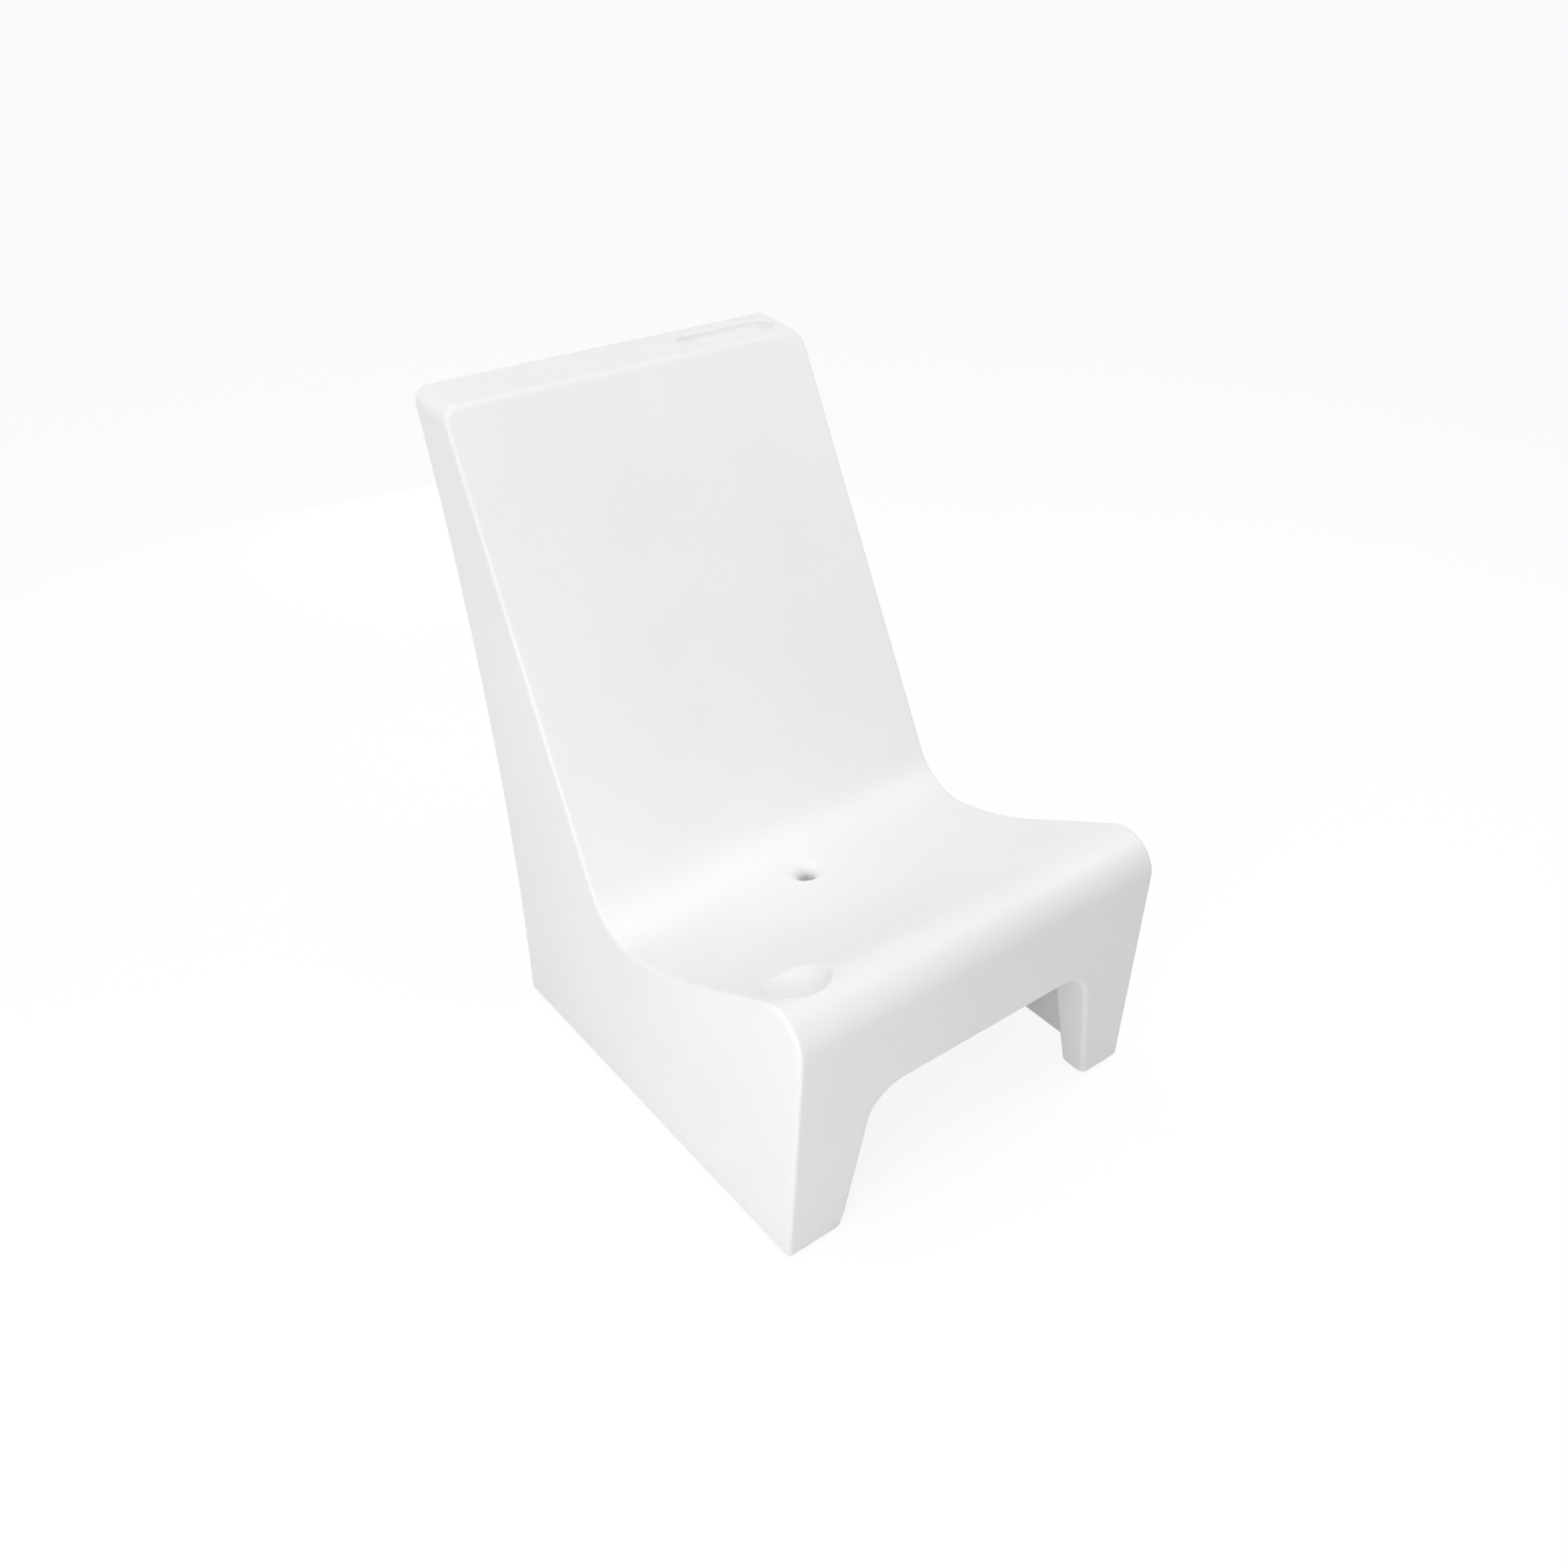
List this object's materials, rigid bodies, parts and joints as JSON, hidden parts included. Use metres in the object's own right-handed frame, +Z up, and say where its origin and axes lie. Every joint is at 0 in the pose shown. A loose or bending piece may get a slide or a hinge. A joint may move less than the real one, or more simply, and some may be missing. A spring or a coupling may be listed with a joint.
{
  "type": "in-pool chair",
  "caption": "Low lounge chair for a pool shelf: a hollow one-piece moulding with a cup recess, hand slot and drain hole, filled with ballast water through screw plugs.",
  "frame": {"origin": "on the floor, under the centre of the chair's overall box", "axes": "+X to the right seen from the front, the front faces -Y, +Z up"},
  "size_m": [0.6098, 0.8456, 0.9036],
  "materials": {
    "shell": "satin moulded polyethylene",
    "insert": "turned nylon",
    "gasket": "matte rubber",
    "plug": "satin moulded plastic"
  },
  "bodies": {
    "chair": {"seat_shell": "shell", "fill_insert": "insert", "ballast_insert": "insert"},
    "fill_seal": {"fill_gasket": "gasket"},
    "fill_cap": {"fill_plug": "plug"},
    "ballast_seal": {"ballast_gasket": "gasket"},
    "ballast_cap": {"ballast_plug": "plug"}
  },
  "joints": [
    {"name": "fill_lift", "type": "slide", "parent": "chair", "child": "fill_seal", "axis": [0, 0.9476, -0.3194], "range_m": [0, 0.01201]},
    {"name": "fill_unscrew", "type": "hinge", "parent": "fill_seal", "child": "fill_cap", "pos_m": [0, 0.37735, 0.78738], "axis": [0, 0.9476, -0.3194], "range_deg": [0, 1080]},
    {"name": "ballast_lift", "type": "slide", "parent": "chair", "child": "ballast_seal", "axis": [0, 0.9984, -0.057], "range_m": [0, 0.01201]},
    {"name": "ballast_unscrew", "type": "hinge", "parent": "ballast_seal", "child": "ballast_cap", "pos_m": [0, 0.2348, 0.05046], "axis": [0, 0.9984, -0.057], "range_deg": [0, 1080]}
  ],
  "couplings": [
    {"joint": "fill_lift", "follows": "fill_unscrew", "m_per_rad": 0.00063662},
    {"joint": "ballast_lift", "follows": "ballast_unscrew", "m_per_rad": 0.00063662}
  ]
}
